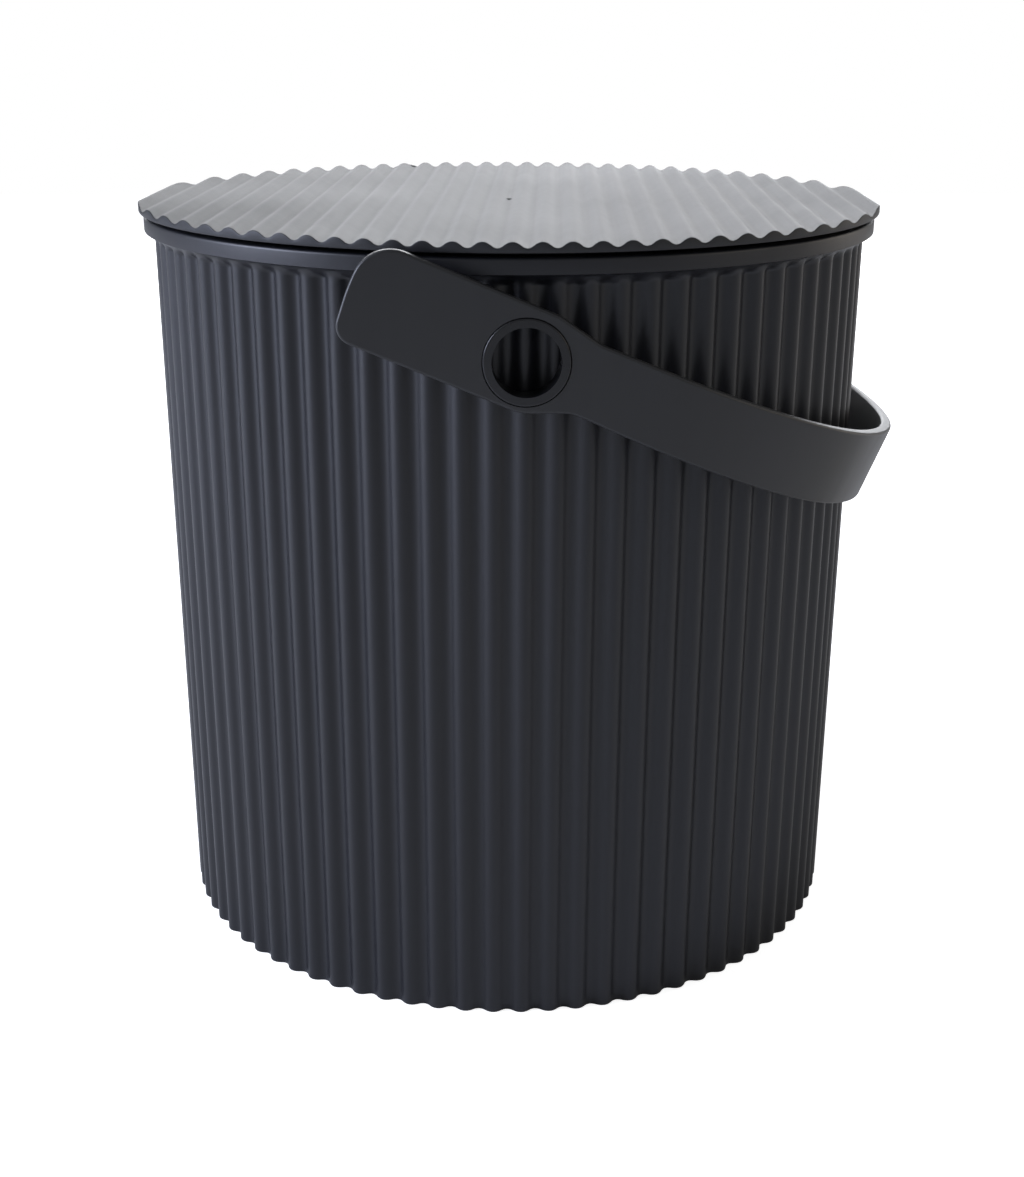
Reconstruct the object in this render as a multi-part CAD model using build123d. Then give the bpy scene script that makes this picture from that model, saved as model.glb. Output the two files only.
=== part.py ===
# Round ribbed bucket with a loose corrugated lid and a wide strap bail on two snap-in eyelets.
# Millimetres, +Z up. The origin is the middle of the foot circle, on the floor.
# The bail turns about Y. It is drawn at rest, leaning on the wall on the +X side.

from build123d import *
import os
from math import acos, atan, atan2, cos, degrees, hypot, pi, sin, sqrt

# Bucket wall
bucket_height = 308.0
wall_draft = 2.5
wall_thickness = 2.2
rib_count = 80
rib_depth = 2.5
rib_crest_share = 0.56

# Bucket floor
floor_thickness = 2.8

# Bucket rim
rim_overhang = 4.2
rim_height = 6.0
rim_edge_round = 1.2

# Lid
lid_diameter = 315.0
lid_overhang = 1.9
lid_ridges = 30
lid_wave_depth = 2.2
lid_crest_share = 0.6
lid_sheet = 2.0
lid_edge_height = 4.0
lid_edge_width = 2.4
lid_shadow_gap = 1.7
lid_turn = -3.7
skirt_depth = 9.0
skirt_thickness = 2.2
bead_width = 3.6

# Bail
bail_pivot_drop = 35.4
bail_bulge = 10.9
bail_corner = 120.0
bail_crown = 200.0
bail_thickness = 4.6
bail_edge_round = 1.1
tail_length = 66.5
tail_top = 19.4
tail_bottom = 17.8
tail_end_bulge = 1.2
tail_end_round = 66.5
tail_top_corner = 14.0
tail_bottom_corner = 7.0
arm_start = 22.0
arm_top = 15.6
arm_bottom = 10.9
shoulder_run = 17.0
shoulder_round = 14.0
grip_top = 16.0
grip_bottom = 16.0
grip_overrun = 1.0

# Pivot bosses and eyelets
boss_diameter = 34.0
pin_diameter = 28.8
boss_bore = 26.9
eyelet_bore = 24.9
eyelet_head_diameter = 31.4
eyelet_head_thickness = 2.8
eyelet_head_round = 0.7
eyelet_proud = 0.5

# Clearances
lid_seat_gap = 0.3
skirt_gap = 0.8
bail_side_gap = 1.5
bail_wall_gap = 0.3
pin_gap = 0.05
sleeve_gap = 0.05
boss_face_gap = 0.3
head_gap = 0.3
sleeve_end_gap = 2.0

# Spare length of the solids that only trim or cut others, and steps of the solving loops
trim_spare = 10.0
solver_steps = 40

# Worked-out levels and radii
lid_radius = lid_diameter / 2
lid_pitch = lid_diameter / lid_ridges
lid_top = bucket_height + lid_shadow_gap + lid_edge_height
rim_bottom = bucket_height - rim_height
rim_radius = lid_radius - lid_overhang
wall_top_radius = rim_radius - rim_overhang
foot_radius = wall_top_radius - wall_draft
cavity_top_radius = wall_top_radius - rib_depth - wall_thickness
bail_inner = lid_radius + bail_side_gap
bail_outer = bail_inner + bail_thickness
bail_reach = bail_outer + bail_bulge
bail_pivot_height = bucket_height - bail_pivot_drop
pivot_root = lid_radius / 2
head_face = bail_outer + eyelet_proud
pin_end = head_face - eyelet_head_thickness
boss_face = bail_inner - boss_face_gap
wall_slope = (wall_top_radius - foot_radius) / rim_bottom


def wall_radius(z):
    """Radius over the rib crests at height z."""
    return foot_radius + wall_slope * z


def wave_joint_radius(crest, valley, half_crest, half_valley):
    """Radius where a crest arc runs into a valley arc without a kink."""
    low = valley
    high = crest
    for _ in range(solver_steps):
        joint = (low + high) / 2
        crest_rise = crest - joint * cos(half_crest)
        valley_drop = joint * cos(half_valley) - valley
        crest_turn = 2 * atan(crest_rise / (joint * sin(half_crest)))
        valley_turn = 2 * atan(valley_drop / (joint * sin(half_valley)))
        if crest_turn > valley_turn + half_crest + half_valley:
            low = joint
        else:
            high = joint
    return joint


def polar(radius, angle, z):
    return (radius * cos(angle), radius * sin(angle), z)


def rib_section(crest, z):
    """Closed ribbed outline at height z, with a crest on each pivot line."""
    valley = crest - rib_depth
    half_crest = rib_crest_share * pi / rib_count
    half_valley = (1 - rib_crest_share) * pi / rib_count
    joint = wave_joint_radius(crest, valley, half_crest, half_valley)
    arcs = []
    for rib in range(rib_count):
        middle = pi / 2 + rib * 2 * pi / rib_count
        start = polar(joint, middle - half_crest, z)
        end = polar(joint, middle + half_crest, z)
        following = polar(joint, middle + half_crest + 2 * half_valley, z)
        arcs.append(ThreePointArc(start, polar(crest, middle, z), end))
        dip = polar(valley, middle + half_crest + half_valley, z)
        arcs.append(ThreePointArc(end, dip, following))
    return make_face(Wire(arcs))


def ribbed_solid(inset, z_low, z_high):
    """Ribbed cone between two heights, its surface set in from the outside of the wall."""
    low = rib_section(wall_radius(z_low) - inset, z_low)
    high = rib_section(wall_radius(z_high) - inset, z_high)
    return loft([low, high], ruled=True)


def cylinder_z(radius, z_low, z_high):
    return Pos(0, 0, z_low) * extrude(Circle(radius), z_high - z_low)


def cylinder_y(radius, y_low, y_high):
    """Round bar on the pivot axis between two distances from the middle of the bucket."""
    plane = Plane(origin=(0, y_low, bail_pivot_height), x_dir=(1, 0, 0), z_dir=(0, 1, 0))
    return extrude(plane * Circle(radius), y_high - y_low)


def on_back(shape):
    """The same piece at the other pivot."""
    return Rot(0, 0, 180) * shape


def make_rim():
    """Rolled-out rim with a rounded edge and a quarter-round under it."""
    under = rim_bottom - rim_overhang
    with BuildSketch(Plane.XZ) as section:
        with BuildLine():
            Polyline(
                (wall_top_radius, under),
                (cavity_top_radius, under),
                (cavity_top_radius, bucket_height),
                (rim_radius, bucket_height),
                (rim_radius, rim_bottom),
            )
            RadiusArc((rim_radius, rim_bottom), (wall_top_radius, under), rim_overhang)
        make_face()
        middle = bucket_height - rim_height / 2
        fillet(section.vertices().filter_by(lambda v: v.Z > middle), rim_edge_round)
    return revolve(section.sketch, Axis.Z)


def make_bucket():
    boss = cylinder_y(boss_diameter / 2, pivot_root, boss_face)
    pin = cylinder_y(pin_diameter / 2, pivot_root, pin_end)
    bore = cylinder_y(boss_bore / 2, 0, head_face)
    tube = boss + pin - bore
    body = ribbed_solid(0, 0, rim_bottom)
    body = body + tube + on_back(tube)
    body = body - ribbed_solid(wall_thickness, floor_thickness, rim_bottom)
    return body + make_rim()


def lid_wave_edges(drop):
    """Wave of tangent arcs across the lid, with a valley at the middle and at each end."""
    crest_width = lid_pitch * lid_crest_share
    valley_width = lid_pitch - crest_width
    crest_rise = lid_wave_depth * lid_crest_share
    joint = lid_top - crest_rise - drop
    bottom = lid_top - lid_wave_depth - drop
    waves = lid_ridges + 2
    arcs = []
    for wave in range(waves):
        valley = (wave - waves / 2) * lid_pitch
        left = valley - valley_width / 2
        right = valley + valley_width / 2
        crest = right + crest_width / 2
        arcs.append(ThreePointArc((left, 0, joint), (valley, 0, bottom), (right, 0, joint)))
        top = (crest, 0, joint + crest_rise)
        arcs.append(ThreePointArc((right, 0, joint), top, (right + crest_width, 0, joint)))
    return arcs


def lid_prism(depth, wavy_bottom):
    """Slab under the waves, with the same waves below or a flat bottom."""
    top = Wire(lid_wave_edges(0))
    start = top @ 0
    end = top @ 1
    if wavy_bottom:
        bottom = Wire(lid_wave_edges(depth))
    else:
        level = lid_top - depth
        bottom = Wire(Line((start.X, 0, level), (end.X, 0, level)))
    sides = [Line(start, bottom @ 0), Line(end, bottom @ 1)]
    face = make_face([*top.edges(), *bottom.edges(), *sides])
    return extrude(face, lid_radius + trim_spare, dir=(0, 1, 0), both=True)


def make_lid():
    skirt_radius = cavity_top_radius - skirt_gap
    skirt_bottom = bucket_height - skirt_depth
    seat = bucket_height + lid_seat_gap
    edge = cylinder_z(lid_radius, lid_top - lid_edge_height, lid_top)
    edge = edge - cylinder_z(lid_radius - lid_edge_width, 0, lid_top)
    skirt = cylinder_z(skirt_radius, skirt_bottom, lid_top)
    bead = cylinder_z(cavity_top_radius + bead_width, seat, lid_top)
    ring = skirt + bead - cylinder_z(skirt_radius - skirt_thickness, 0, lid_top)
    sheet = lid_prism(lid_sheet, True) & cylinder_z(lid_radius, 0, lid_top)
    lower = lid_prism(lid_top - skirt_bottom + trim_spare, False)
    lid = sheet + (lower & edge) + (lower & ring)
    return Rot(0, 0, lid_turn) * lid


def bail_plan_edges(inset):
    """Line of the strap seen from above: straight arm, tight corner, wide crown, and back."""
    side = bail_outer - inset
    corner = bail_corner - inset
    crown = bail_crown - inset
    crown_x = bail_reach - bail_crown
    corner_y = bail_outer - bail_corner
    corner_x = crown_x + sqrt((bail_crown - bail_corner) ** 2 - corner_y**2)
    join = atan2(corner_y, corner_x - crown_x)
    turn = (join + pi / 2) / 2
    join_point = (crown_x + crown * cos(join), crown * sin(join))
    middle = (corner_x + corner * cos(turn), corner_y + corner * sin(turn))
    near = [
        Line((-tail_length - tail_end_bulge, side), (corner_x, side)),
        ThreePointArc((corner_x, side), middle, join_point),
    ]
    top = ThreePointArc(join_point, (crown_x + crown, 0), (join_point[0], -join_point[1]))
    return [*near, top, *(mirror(edge, Plane.XZ) for edge in near)]


def bail_plan():
    outer = bail_plan_edges(0)
    inner = bail_plan_edges(bail_thickness)
    ends = [Line(outer[i] @ 0, inner[i] @ 0) for i in (0, 3)]
    return make_face([*outer, *inner, *ends])


def bail_side():
    """The strap seen along the pivot axis, with the bail laid level: tail, shoulder, arm, grip."""
    end = bail_reach + grip_overrun
    outline = FilletPolyline(
        (end, grip_top),
        (arm_start, arm_top),
        (arm_start - shoulder_run, tail_top),
        (-tail_length, tail_top),
        (-tail_length - tail_end_bulge, 0),
        (-tail_length, -tail_bottom),
        (arm_start - shoulder_run, -tail_bottom),
        (arm_start, -arm_bottom),
        (end, -grip_bottom),
        radius=[
            shoulder_round,
            shoulder_round,
            tail_top_corner,
            tail_end_round,
            tail_bottom_corner,
            shoulder_round,
            shoulder_round,
        ],
    )
    return make_face([*outline.edges(), Line((end, -grip_bottom), (end, grip_top))])


def rest_angle():
    """How far the bail hangs below level when its lower edge leans on the wall."""
    inner = bail_reach - bail_thickness
    arm = hypot(inner, grip_bottom)
    corner = atan2(grip_bottom, inner)
    angle = 0.0
    for _ in range(solver_steps):
        height = bail_pivot_height - arm * sin(angle + corner)
        angle = acos((wall_radius(height) + bail_wall_gap) / arm) - corner
    return degrees(angle)


def make_bail():
    hole = pin_diameter / 2 + pin_gap
    recess = eyelet_head_diameter / 2 + head_gap
    strap = extrude(bail_plan(), pivot_root, both=True)
    side = extrude(Plane.XZ * bail_side(), bail_outer + trim_spare, both=True)
    bail = strap & side
    rims = bail.edges().filter_by(Axis.Y, reverse=True).filter_by(Axis.Z, reverse=True)
    bail = fillet(rims, bail_edge_round)
    bail = Pos(0, 0, bail_pivot_height) * bail
    cut = cylinder_y(hole, pivot_root, head_face)
    cut = cut + cylinder_y(recess, pin_end - head_gap, head_face)
    bail = bail - cut - on_back(cut)
    pivot = Axis((0, 0, bail_pivot_height), (0, 1, 0))
    return bail.rotate(pivot, rest_angle())


def make_eyelet():
    """Hollow rivet: a rounded head over the pin end and a sleeve pressed into the boss."""
    sleeve_end = wall_radius(bail_pivot_height) + sleeve_end_gap
    head = cylinder_y(eyelet_head_diameter / 2, pin_end, head_face)
    head = fillet(head.edges().group_by(Axis.Y)[-1], eyelet_head_round)
    sleeve = cylinder_y(boss_bore / 2 - sleeve_gap, sleeve_end, pin_end)
    return head + sleeve - cylinder_y(eyelet_bore / 2, 0, head_face)


os.makedirs("parts", exist_ok=True)
eyelet = make_eyelet()
nodes = {
    "bucket": make_bucket(),
    "lid": make_lid(),
    "handle": make_bail(),
    "pivot_eyelet_back": eyelet,
    "pivot_eyelet_front": on_back(eyelet),
}
for name, shape in nodes.items():
    export_step(shape, f"parts/{name}.step")
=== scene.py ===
# Looks of the ribbed bucket: moulded charcoal plastic under soft studio light, in metres.

from math import cos, pi, radians, sin

import bmesh
import bpy
import numpy as np
from mathutils import Matrix, Vector


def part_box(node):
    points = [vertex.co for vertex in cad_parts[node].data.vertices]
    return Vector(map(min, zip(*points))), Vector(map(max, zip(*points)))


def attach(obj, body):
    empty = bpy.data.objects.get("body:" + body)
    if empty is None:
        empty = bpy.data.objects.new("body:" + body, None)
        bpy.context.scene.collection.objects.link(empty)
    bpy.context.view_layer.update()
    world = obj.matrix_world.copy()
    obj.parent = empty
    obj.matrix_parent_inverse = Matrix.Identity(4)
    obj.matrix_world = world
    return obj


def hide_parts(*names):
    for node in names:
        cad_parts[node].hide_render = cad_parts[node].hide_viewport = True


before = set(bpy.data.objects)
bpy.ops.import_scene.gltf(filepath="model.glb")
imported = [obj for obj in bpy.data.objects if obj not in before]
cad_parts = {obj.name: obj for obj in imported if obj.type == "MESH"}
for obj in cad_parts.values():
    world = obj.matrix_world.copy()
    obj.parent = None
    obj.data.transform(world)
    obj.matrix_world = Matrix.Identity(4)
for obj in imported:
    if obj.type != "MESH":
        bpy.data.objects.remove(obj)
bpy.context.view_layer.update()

MM = 0.001

# Sizes that the CAD boxes give
_, bucket_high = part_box("bucket")
lid_low, lid_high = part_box("lid")
eyelet_low, eyelet_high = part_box("pivot_eyelet_back")
rim_top = bucket_high.z
rim_radius = bucket_high.x
pin_end = bucket_high.y
lid_radius = lid_high.x
lid_top = lid_high.z
skirt_bottom = lid_low.z
pivot_height = (eyelet_low.z + eyelet_high.z) / 2

# Meshes, with the angles in degrees that edges stay smooth up to
SMOOTH_ANGLE = 30
RIB_SMOOTH_ANGLE = 50
LID_SMOOTH_ANGLE = 40
MERGE_DISTANCE = 0.004 * MM
SMALL_CHAMFER = 0.3 * MM

# Bucket wall and floor
RIB_COUNT = 80
RIB_DEPTH = 2.5 * MM
RIB_CREST_SHARE = 0.56
RIB_END_FADE = 1.6
STEPS_PER_RIB = 16
WALL_THICKNESS = 2.2 * MM
WALL_START = 8 * MM
WALL_END_GAP = 0.6 * MM
WALL_LEVELS = 12
INSIDE_WALL_GAP = 1.5 * MM
INSIDE_LEVELS = 10
INSIDE_ROUND = 3 * MM
INSIDE_ROUND_FADE = 0.6
FLOOR_THICKNESS = 2.8 * MM
FOOT_RADIUS = 148.9 * MM
FOOT_EDGE_ROUND = 0.8 * MM
FOOT_BLEND_WIDTH = 6 * MM
FOOT_BLEND_RIBBING = 0.35

# Bucket rim
RIM_OVERHANG = 4.2 * MM
RIM_HEIGHT = 6.0 * MM
RIM_EDGE_ROUND = 1.2 * MM
RIM_MOUTH_ROUND = 0.6 * MM
RIM_BAND_START = 0.35 * MM

# Lid
LID_PITCH = 10.5 * MM
LID_WAVE_DEPTH = 2.2 * MM
LID_CREST_SHARE = 0.6
LID_SHEET = 2.0 * MM
LID_EDGE_HEIGHT = 4.0 * MM
LID_EDGE_WIDTH = 2.4 * MM
LID_EDGE_ROUND = 0.45 * MM
LID_EDGE_CHAMFER = LID_EDGE_ROUND * 0.3
LID_LEAST_LIP = 0.01 * MM
LID_TURN = radians(-3.7)
STEPS_PER_WAVE = 14
LID_END_ANGLES = (0.6, 9)
LID_END_COLUMNS = 14
LEAST_COLUMN_GAP = 0.05 * MM
SKIRT_GAP = 0.8 * MM
SKIRT_THICKNESS = 2.2 * MM
SKIRT_STEPS = 256
BEAD_WIDTH = 3.6 * MM
LID_SEAT_GAP = 0.3 * MM

# Gate mark, with heights from the valley that it stands in
GATE_RADIUS = 2.3 * MM
GATE_HOLE = 0.1 * MM
GATE_ROOT = 0.3 * MM
GATE_EDGE = 0.25 * MM
GATE_CREST = 0.4 * MM
GATE_CREST_SHARE = 0.8
GATE_DIMPLE = 0.3 * MM
GATE_DIMPLE_SHARE = 0.35
GATE_STEPS = 48

# Pivot bosses
BOSS_RADIUS = 17.0 * MM
BOSS_BORE = 13.45 * MM
BOSS_FACE_GAP = 0.3 * MM
BOSS_CHAMFER = 0.6 * MM
BOSS_ROOT_DEPTH = 2 * MM
BOSS_STEPS = 128
PIN_RADIUS = 14.4 * MM
SIDE_GAP = 1.5 * MM

# Worked-out sizes
wall_top_radius = rim_radius - RIM_OVERHANG
wall_slope = (wall_top_radius - FOOT_RADIUS) / (rim_top - RIM_HEIGHT)
mouth_radius = wall_top_radius - RIB_DEPTH - WALL_THICKNESS
rib_end = rim_top - RIM_HEIGHT - RIM_OVERHANG
flat_ring_radius = FOOT_RADIUS * 0.5
boss_face = lid_radius + SIDE_GAP - BOSS_FACE_GAP

# Plastic
BLEND_RANGE = (0.3, 0.7)
ROUGH_BELOW = 0.03
ROUGH_ABOVE = 0.04
PLASTIC_IOR = 1.5

# Floor, world and lights
FLOOR_HALF_WIDTH = 3.0
FLOOR_COLOUR = (0.90, 0.90, 0.90)
FLOOR_ROUGHNESS = 0.8
FLOOR_GLOW = 0.82
WORLD_COLOUR = (0.92, 0.95, 1.0)
WORLD_STRENGTH = 0.28
SOFTBOX_SIZE = 1.2
SOFTBOX_DISTANCE = 2.4
LIGHT_AIM = Vector((0, 0, 0.19))

# Camera, from the fit of the lid edge, the rib ends and the walls
CAMERA_DISTANCE = 756.4 * MM
CAMERA_ABOVE_LID = 78.6 * MM
CAMERA_AZIMUTH = radians(2.23)
CAMERA_YAW = radians(0.136)
CAMERA_PITCH = radians(18.92)
CAMERA_ROLL = radians(0.186)
FOCAL_PIXELS = 1711.5
FRAME_HEIGHT_PIXELS = 1177
SENSOR_SIZE = 36.0
CLIP_START = 0.05


def mesh_object(name, points, faces, smooth_angle=SMOOTH_ANGLE):
    mesh = bpy.data.meshes.new(name)
    mesh.from_pydata([tuple(p) for p in points], [], faces)
    mesh.validate()
    mesh.update()
    for polygon in mesh.polygons:
        polygon.use_smooth = True
    mesh.set_sharp_from_angle(angle=radians(smooth_angle))
    piece = bpy.data.objects.new(name, mesh)
    bpy.context.scene.collection.objects.link(piece)
    return piece


def ring_faces(rows, columns, closed=False):
    """Quads between neighbouring rings of points, and from the last ring to the first if closed."""
    faces = []
    for row in range(rows if closed else rows - 1):
        low = row * columns
        high = ((row + 1) % rows) * columns
        for i in range(columns):
            j = (i + 1) % columns
            faces.append((low + i, low + j, high + j, high + i))
    return faces


def round_turn(steps):
    """Angles once round a circle, in radians."""
    return np.linspace(0, 2 * pi, steps, endpoint=False)


def arc_angles(start, end, count):
    """Angles of an arc in radians, from a start and an end in degrees."""
    return np.radians(np.linspace(start, end, count))


def wave_shape(phase, crest_share):
    """Height from -1 to 0 of parabolic crests and valleys that meet without a kink. Phase 0 is a crest."""
    phase = np.abs((phase + 0.5) % 1.0 - 0.5)
    half_crest = crest_share / 2
    half_valley = 0.5 - half_crest
    crest = -crest_share * (phase / half_crest) ** 2
    valley = -1 + (1 - crest_share) * ((0.5 - phase) / half_valley) ** 2
    return np.where(phase < half_crest, crest, valley)


def lathe_y(name, outline, side):
    """Ring turned about the pivot axis from (radius, distance) pairs, at one side of the bucket."""
    turn = round_turn(BOSS_STEPS)
    rows = []
    for radius, distance in outline:
        x = radius * np.cos(turn)
        z = pivot_height + radius * np.sin(turn)
        rows.append(np.stack([x * side, turn * 0 + distance * side, z], -1))
    faces = ring_faces(len(outline), BOSS_STEPS, closed=True)
    return mesh_object(name, np.concatenate(rows), faces)


def lathe_z(name, outline, steps):
    """Ring turned about the bucket's axis from (radius, height) pairs."""
    turn = round_turn(steps)
    rows = [np.stack([r * np.cos(turn), r * np.sin(turn), turn * 0 + z], -1) for r, z in outline]
    faces = ring_faces(len(outline), steps, closed=True)
    return mesh_object(name, np.concatenate(rows), faces)


# Bucket, whose levels are (radius, height, share of ribbing)

def wall_radius(z):
    """Radius over the ribs' crests at a height."""
    return FOOT_RADIUS + wall_slope * z


def outside_levels():
    """Levels from the flat of the foot, up the ribbed wall to the underside of the rim."""
    levels = [(flat_ring_radius, 0.0, 0.0)]
    levels.append((FOOT_RADIUS - FOOT_BLEND_WIDTH, 0.0, FOOT_BLEND_RIBBING))
    for a in arc_angles(-90, 0, 5):
        z = FOOT_EDGE_ROUND * (1 + sin(a))
        levels.append((wall_radius(z) - FOOT_EDGE_ROUND * (1 - cos(a)), z, 1.0))
    for z in np.linspace(WALL_START, rib_end - WALL_END_GAP, WALL_LEVELS):
        levels.append((wall_radius(z), z, 1.0))
    for a in arc_angles(180, 90, 10):
        across = rim_radius + RIM_OVERHANG * cos(a)
        up = rib_end + RIM_OVERHANG * sin(a)
        blend = (up - rib_end) / RIM_OVERHANG
        levels.append((across, up, max(0.0, 1 - blend * RIB_END_FADE)))
    return levels


def rim_levels():
    """Levels of the rim's plain band, its round edge and the edge of the mouth."""
    levels = [(rim_radius, rim_top - RIM_HEIGHT + RIM_BAND_START, 0.0)]
    for a in arc_angles(0, 90, 6):
        across = rim_radius - RIM_EDGE_ROUND * (1 - cos(a))
        levels.append((across, rim_top - RIM_EDGE_ROUND * (1 - sin(a)), 0.0))
    for a in arc_angles(90, 180, 5):
        across = mouth_radius + RIM_MOUTH_ROUND * (1 + cos(a))
        levels.append((across, rim_top - RIM_MOUTH_ROUND * (1 - sin(a)), 0.0))
    return levels


def inside_levels():
    """Levels down the inside of the wall to the flat of the floor."""
    levels = [(mouth_radius, rib_end, 0.0)]
    for z in np.linspace(rib_end - INSIDE_WALL_GAP, FLOOR_THICKNESS + INSIDE_ROUND, INSIDE_LEVELS):
        levels.append((wall_radius(z) - WALL_THICKNESS, z, 1.0))
    for a in arc_angles(0, -90, 4):
        z = FLOOR_THICKNESS + INSIDE_ROUND * (1 + sin(a))
        inner = wall_radius(z) - WALL_THICKNESS
        levels.append((inner - INSIDE_ROUND * (1 - cos(a)), z, 1.0 + sin(a) * INSIDE_ROUND_FADE))
    levels.append((flat_ring_radius, FLOOR_THICKNESS, 0.0))
    return levels


def make_bucket():
    columns = RIB_COUNT * STEPS_PER_RIB
    turn = round_turn(columns)
    ribs = wave_shape(turn * RIB_COUNT / (2 * pi), RIB_CREST_SHARE) * RIB_DEPTH
    levels = outside_levels() + rim_levels() + inside_levels()
    rows = []
    for radius, z, ribbing in levels:
        around = radius + ribs * ribbing
        x = around * np.cos(turn + pi / 2)
        y = around * np.sin(turn + pi / 2)
        rows.append(np.stack([x, y, turn * 0 + z], -1))
    points = np.concatenate(rows)
    faces = ring_faces(len(levels), columns)
    foot_middle = len(points)
    floor_middle = foot_middle + 1
    last = foot_middle - columns
    for i in range(columns):
        j = (i + 1) % columns
        faces.append((foot_middle, j, i))
        faces.append((floor_middle, last + i, last + j))
    points = np.vstack([points, [0, 0, 0], [0, 0, FLOOR_THICKNESS]])
    return mesh_object("bucket_shell", points, faces, RIB_SMOOTH_ANGLE)


def make_boss(name, side):
    """Tubular boss and pin, from inside the ribs to the eyelet's head."""
    root = FOOT_RADIUS - BOSS_ROOT_DEPTH
    outline = [
        (BOSS_BORE, root),
        (BOSS_BORE, pin_end),
        (PIN_RADIUS - SMALL_CHAMFER, pin_end),
        (PIN_RADIUS, pin_end - SMALL_CHAMFER),
        (PIN_RADIUS, boss_face),
        (BOSS_RADIUS - BOSS_CHAMFER, boss_face),
        (BOSS_RADIUS, boss_face - BOSS_CHAMFER),
        (BOSS_RADIUS, root),
    ]
    return lathe_y(name, outline, side)


# Lid

def lid_height(x):
    """Top of the lid at x. A valley runs through the middle of the lid."""
    return lid_top + wave_shape(x / LID_PITCH + 0.5, LID_CREST_SHARE) * LID_WAVE_DEPTH


def lid_columns():
    """Places across the lid: even steps on the waves, closer at the two round ends."""
    waves = round(2 * lid_radius / LID_PITCH)
    inner = lid_radius - LID_EDGE_ROUND
    even = np.linspace(-inner, inner, waves * STEPS_PER_WAVE + 1)[1:-1]
    ends = inner * np.cos(arc_angles(*LID_END_ANGLES, LID_END_COLUMNS))
    xs = np.unique(np.round(np.concatenate([even, ends, -ends]), 7))
    keep = np.concatenate([[True], np.diff(xs) > LEAST_COLUMN_GAP])
    return xs[keep]


def lid_rim_points(xs, radius, drop):
    """Points round the lid's edge at a radius, drop below the wave, in order round the circle."""
    inner = lid_radius - LID_EDGE_ROUND
    ys = np.sqrt(inner**2 - xs**2)
    x = np.concatenate([xs, xs[::-1]]) * radius / inner
    y = np.concatenate([-ys, ys[::-1]]) * radius / inner
    return np.stack([x, y, lid_height(x) - drop], -1)


def make_lid():
    """Corrugated sheet and its edge, in rings from the top, round the edge, to the underside."""
    xs = lid_columns()
    inner = lid_radius - LID_EDGE_ROUND
    base = lid_top - LID_EDGE_HEIGHT
    rings = [lid_rim_points(xs, inner, 0)]
    for a in arc_angles(22.5, 90, 4):
        rings.append(lid_rim_points(xs, inner + LID_EDGE_ROUND * sin(a), LID_EDGE_ROUND * (1 - cos(a))))
    for radius, z in (
        (lid_radius, base + LID_EDGE_ROUND),
        (lid_radius - LID_EDGE_CHAMFER, base + LID_EDGE_CHAMFER),
        (inner, base),
        (lid_radius - LID_EDGE_WIDTH, base),
    ):
        ring = lid_rim_points(xs, radius, 0)
        ring[:, 2] = z
        rings.append(ring)
    under = lid_rim_points(xs, lid_radius - LID_EDGE_WIDTH, LID_SHEET)
    under[:, 2] = np.maximum(under[:, 2], base + LID_LEAST_LIP)
    rings.append(under)
    count = len(xs)
    around = 2 * count
    faces = ring_faces(len(rings), around)
    last = (len(rings) - 1) * around
    for i in range(count - 1):
        j = i + 1
        k = around - 2 - i
        m = around - 1 - i
        faces.append((i, j, k, m))
        faces.append((last + m, last + k, last + j, last + i))
    lid = mesh_object("lid_sheet", np.concatenate(rings), faces, LID_SMOOTH_ANGLE)
    lid.data.transform(Matrix.Rotation(LID_TURN, 4, "Z"))
    return lid


def make_lid_skirt():
    """Locating skirt and the bead that stands on the rim, under the sheet."""
    outer = mouth_radius - SKIRT_GAP
    inner = outer - SKIRT_THICKNESS
    bead = mouth_radius + BEAD_WIDTH
    top = lid_top - LID_WAVE_DEPTH - LID_SHEET / 2
    seat = rim_top + LID_SEAT_GAP
    outline = [
        (inner, top),
        (inner, skirt_bottom + SMALL_CHAMFER),
        (inner + SMALL_CHAMFER, skirt_bottom),
        (outer - SMALL_CHAMFER, skirt_bottom),
        (outer, skirt_bottom + SMALL_CHAMFER),
        (outer, seat),
        (bead - SMALL_CHAMFER, seat),
        (bead, seat + SMALL_CHAMFER),
        (bead, top),
    ]
    return lathe_z("lid_skirt", outline, SKIRT_STEPS)


def make_gate_mark():
    """Low round mark that the mould's gate leaves at the middle of the lid."""
    valley = lid_top - LID_WAVE_DEPTH
    outline = [
        (GATE_RADIUS, valley - GATE_ROOT),
        (GATE_RADIUS, valley + GATE_EDGE),
        (GATE_RADIUS * GATE_CREST_SHARE, valley + GATE_CREST),
        (GATE_RADIUS * GATE_DIMPLE_SHARE, valley + GATE_DIMPLE),
        (GATE_HOLE, valley + GATE_EDGE),
        (GATE_HOLE, valley - GATE_ROOT),
    ]
    return lathe_z("gate_mark", outline, GATE_STEPS)


# Handle and eyelets

def tidy_copy(node, name):
    """A smooth-shaded copy of a CAD node whose shape is right."""
    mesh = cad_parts[node].data.copy()
    mesh.name = name
    piece = bpy.data.objects.new(name, mesh)
    bpy.context.scene.collection.objects.link(piece)
    work = bmesh.new()
    work.from_mesh(mesh)
    bmesh.ops.remove_doubles(work, verts=work.verts, dist=MERGE_DISTANCE)
    work.to_mesh(mesh)
    work.free()
    for attribute in ("custom_normal", "sharp_face", "sharp_edge"):
        if attribute in mesh.attributes:
            mesh.attributes.remove(mesh.attributes[attribute])
    for polygon in mesh.polygons:
        polygon.use_smooth = True
    mesh.set_sharp_from_angle(angle=radians(SMOOTH_ANGLE))
    weighted = piece.modifiers.new("even_normals", "WEIGHTED_NORMAL")
    weighted.keep_sharp = True
    return piece


# Materials

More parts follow.
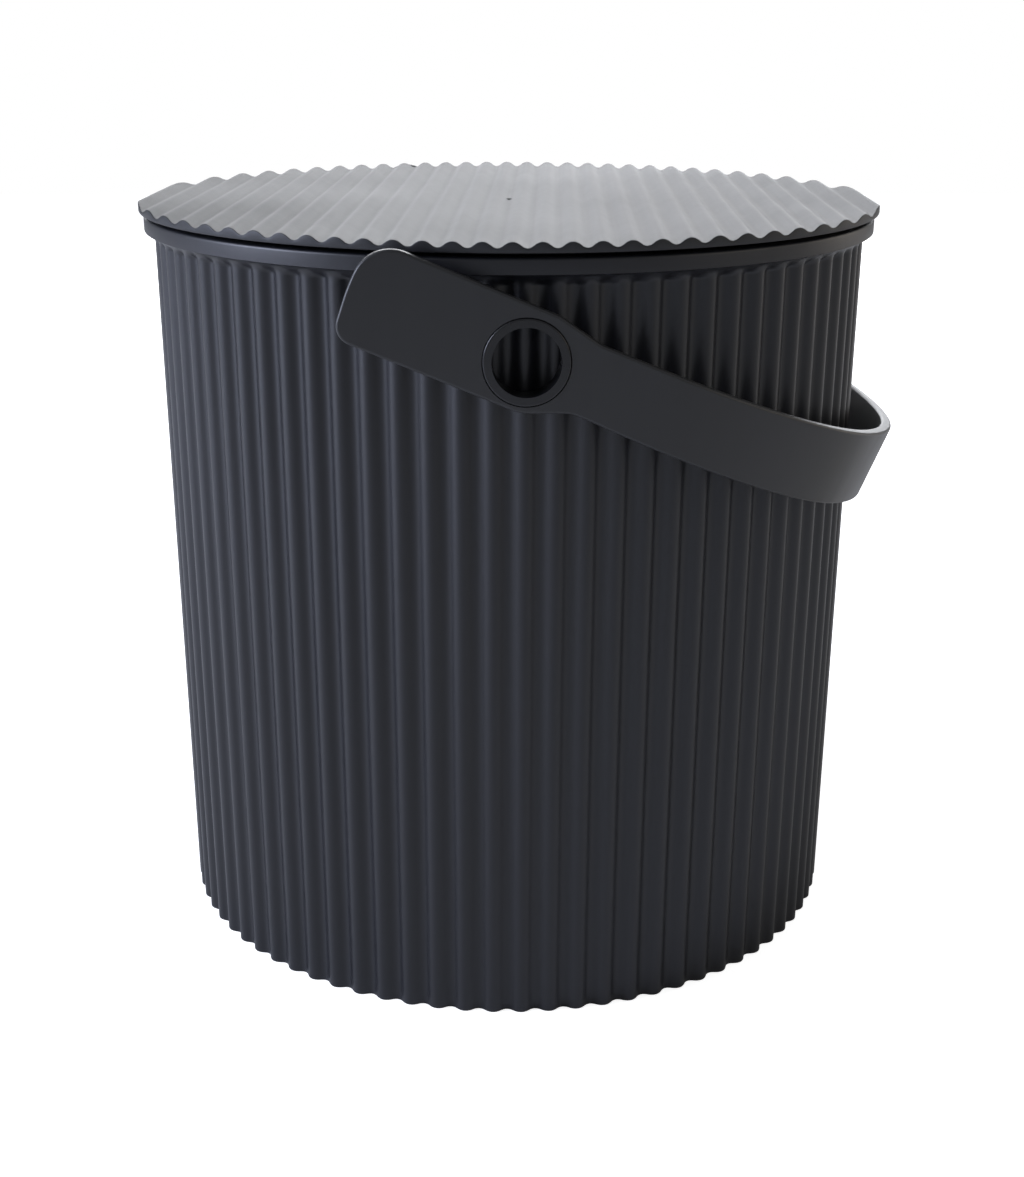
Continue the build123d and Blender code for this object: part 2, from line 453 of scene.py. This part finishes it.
def shader_nodes(name):
    material = bpy.data.materials.new(name)
    material.use_nodes = True
    tree = material.node_tree
    return material, tree, tree.nodes["Principled BSDF"]


def add_node(tree, kind, **values):
    node = tree.nodes.new(kind)
    for key, value in values.items():
        if key in node.inputs:
            node.inputs[key].default_value = value
        else:
            setattr(node, key, value)
    return node


def ramp(tree, source, low, high):
    """Colours that blend from low to high over the middle of the source's range."""
    node = tree.nodes.new("ShaderNodeValToRGB")
    for element, place, colour in zip(node.color_ramp.elements, BLEND_RANGE, (low, high)):
        element.position = place
        element.color = (*colour, 1)
    tree.links.new(source, node.inputs["Fac"])
    return node.outputs["Color"]


def moulded_plastic(name, dark, light, rough, grain_size, grain_depth, streak):
    """Matte moulded polypropylene: fine spark-eroded grain, faint cloudiness and flow streaks."""
    material, tree, shader = shader_nodes(name)
    place = tree.nodes.new("ShaderNodeTexCoord").outputs["Object"]
    cloud = add_node(tree, "ShaderNodeTexNoise", Scale=9.0, Detail=4.0, Roughness=0.6)
    tree.links.new(place, cloud.inputs["Vector"])
    stretch = add_node(tree, "ShaderNodeMapping", Scale=(160.0, 160.0, 6.0))
    tree.links.new(place, stretch.inputs["Vector"])
    flow = add_node(tree, "ShaderNodeTexNoise", Scale=1.0, Detail=3.0, Roughness=0.55)
    tree.links.new(stretch.outputs["Vector"], flow.inputs["Vector"])
    mix = add_node(tree, "ShaderNodeMix", data_type="FLOAT")
    # A Mix node of floats has its factor at input 0 and its values at inputs 2 and 3
    mix.inputs[0].default_value = streak
    tree.links.new(cloud.outputs["Fac"], mix.inputs[2])
    tree.links.new(flow.outputs["Fac"], mix.inputs[3])
    blend = mix.outputs[0]
    colour = ramp(tree, blend, dark, light)
    tree.links.new(colour, shader.inputs["Base Color"])
    gloss = ramp(tree, blend, (rough - ROUGH_BELOW,) * 3, (rough + ROUGH_ABOVE,) * 3)
    tree.links.new(gloss, shader.inputs["Roughness"])
    grain = add_node(tree, "ShaderNodeTexNoise", Scale=1 / grain_size, Detail=3.0, Roughness=0.7)
    tree.links.new(place, grain.inputs["Vector"])
    bump = add_node(tree, "ShaderNodeBump", Strength=1.0, Distance=grain_depth)
    tree.links.new(grain.outputs["Fac"], bump.inputs["Height"])
    tree.links.new(bump.outputs["Normal"], shader.inputs["Normal"])
    shader.inputs["IOR"].default_value = PLASTIC_IOR
    return material


def dress(piece, body, slot_name, material, *nodes):
    """Give a piece its material and body, and hide the CAD nodes that it stands for."""
    piece.data.materials.clear()
    piece.data.materials.append(material)
    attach(piece, body)
    if nodes:
        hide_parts(*nodes)


def make_pieces():
    bucket_plastic = moulded_plastic(
        "bucket_plastic",
        dark=(0.0082, 0.0086, 0.0114),
        light=(0.0104, 0.0109, 0.0142),
        rough=0.40,
        grain_size=0.9 * MM,
        grain_depth=0.02 * MM,
        streak=0.4,
    )
    lid_plastic = moulded_plastic(
        "lid_plastic",
        dark=(0.0090, 0.0094, 0.0112),
        light=(0.0112, 0.0117, 0.0138),
        rough=0.50,
        grain_size=0.9 * MM,
        grain_depth=0.02 * MM,
        streak=0.2,
    )
    handle_plastic = moulded_plastic(
        "handle_plastic",
        dark=(0.0165, 0.0166, 0.0176),
        light=(0.0215, 0.0216, 0.0226),
        rough=0.40,
        grain_size=1.2 * MM,
        grain_depth=0.012 * MM,
        streak=0.3,
    )
    eyelet_plastic = moulded_plastic(
        "eyelet_plastic",
        dark=(0.0060, 0.0061, 0.0070),
        light=(0.0078, 0.0079, 0.0090),
        rough=0.28,
        grain_size=1.0 * MM,
        grain_depth=0.008 * MM,
        streak=0.0,
    )
    dress(make_bucket(), "tub", "bucket_plastic", bucket_plastic, "bucket")
    for name, side in (("boss_back", 1), ("boss_front", -1)):
        dress(make_boss(name, side), "tub", "bucket_plastic", bucket_plastic)
    dress(make_lid(), "lid", "lid_plastic", lid_plastic, "lid")
    dress(make_lid_skirt(), "lid", "lid_plastic", lid_plastic)
    dress(make_gate_mark(), "lid", "lid_plastic", lid_plastic)
    dress(tidy_copy("handle", "handle_strap"), "handle", "handle_plastic", handle_plastic, "handle")
    for side in ("front", "back"):
        eyelet = tidy_copy(f"pivot_eyelet_{side}", f"eyelet_{side}")
        dress(eyelet, "tub", "eyelet_plastic", eyelet_plastic, f"pivot_eyelet_{side}")


# Stage

def make_stage():
    """Pale floor that glows a little for the camera alone, so that it lights nothing."""
    half = FLOOR_HALF_WIDTH
    corners = [(-half, -half, 0), (half, -half, 0), (half, half, 0), (-half, half, 0)]
    floor = mesh_object("floor", corners, [(0, 1, 2, 3)])
    material, tree, shader = shader_nodes("pale_floor")
    shader.inputs["Base Color"].default_value = (*FLOOR_COLOUR, 1)
    shader.inputs["Roughness"].default_value = FLOOR_ROUGHNESS
    white = add_node(tree, "ShaderNodeEmission", Color=(1, 1, 1, 1), Strength=FLOOR_GLOW)
    path = tree.nodes.new("ShaderNodeLightPath")
    both = tree.nodes.new("ShaderNodeAddShader")
    choose = tree.nodes.new("ShaderNodeMixShader")
    tree.links.new(shader.outputs[0], both.inputs[0])
    tree.links.new(white.outputs[0], both.inputs[1])
    tree.links.new(path.outputs["Is Camera Ray"], choose.inputs[0])
    tree.links.new(shader.outputs[0], choose.inputs[1])
    tree.links.new(both.outputs[0], choose.inputs[2])
    tree.links.new(choose.outputs[0], tree.nodes["Material Output"].inputs["Surface"])
    floor.data.materials.append(material)


def make_world():
    """Soft daylight on the pieces, and plain white where the camera sees past them."""
    world = bpy.data.worlds.new("studio")
    bpy.context.scene.world = world
    world.use_nodes = True
    tree = world.node_tree
    soft = tree.nodes["Background"]
    soft.inputs["Color"].default_value = (*WORLD_COLOUR, 1)
    soft.inputs["Strength"].default_value = WORLD_STRENGTH
    white = add_node(tree, "ShaderNodeBackground", Color=(1, 1, 1, 1), Strength=1.0)
    path = tree.nodes.new("ShaderNodeLightPath")
    choose = tree.nodes.new("ShaderNodeMixShader")
    tree.links.new(path.outputs["Is Camera Ray"], choose.inputs[0])
    tree.links.new(soft.outputs[0], choose.inputs[1])
    tree.links.new(white.outputs[0], choose.inputs[2])
    tree.links.new(choose.outputs[0], tree.nodes["World Output"].inputs["Surface"])


def softbox(name, azimuth, elevation, power, colour):
    """Square light aimed at the bucket. Azimuth runs from the front to the viewer's left, in degrees."""
    turn = radians(azimuth)
    lift = radians(elevation)
    towards = Vector((-sin(turn) * cos(lift), -cos(turn) * cos(lift), sin(lift)))
    data = bpy.data.lights.new(name, "AREA")
    data.size = SOFTBOX_SIZE
    data.energy = power
    data.color = colour
    light = bpy.data.objects.new(name, data)
    light.location = LIGHT_AIM + towards * SOFTBOX_DISTANCE
    light.rotation_euler = towards.to_track_quat("Z", "Y").to_euler()
    bpy.context.scene.collection.objects.link(light)


def make_lights():
    softbox("left_window", 80, 20, 64, (0.72, 0.78, 1.0))
    softbox("upper_left", 90, 52, 7, (0.9, 0.95, 1.0))
    softbox("back_left", 168, 14, 15, (0.95, 0.965, 1.0))
    softbox("back_right", 196, 14, 17, (0.95, 0.965, 1.0))
    softbox("warm_right", 292, 20, 4.5, (1.0, 0.88, 0.72))
    softbox("warm_back_right", 245, 12, 5, (1.0, 0.88, 0.75))


def make_camera():
    turn = -CAMERA_AZIMUTH
    place = Matrix.Rotation(turn, 4, "Z") @ Vector((0, -CAMERA_DISTANCE, lid_top + CAMERA_ABOVE_LID))
    aim = (
        Matrix.Rotation(turn - CAMERA_YAW, 4, "Z")
        @ Matrix.Rotation(pi / 2 - CAMERA_PITCH, 4, "X")
        @ Matrix.Rotation(CAMERA_ROLL, 4, "Z")
    )
    data = bpy.data.cameras.new("camera")
    # The sensor's size goes with the longer side of the frame, which is its height
    data.sensor_width = SENSOR_SIZE
    data.lens = FOCAL_PIXELS / FRAME_HEIGHT_PIXELS * SENSOR_SIZE
    data.clip_start = CLIP_START
    camera = bpy.data.objects.new("camera", data)
    camera.matrix_world = Matrix.Translation(place) @ aim
    bpy.context.scene.collection.objects.link(camera)
    bpy.context.scene.camera = camera


make_pieces()
make_stage()
make_world()
make_lights()
make_camera()
bpy.context.scene.view_settings.view_transform = "Standard"

bpy.context.view_layer.update()
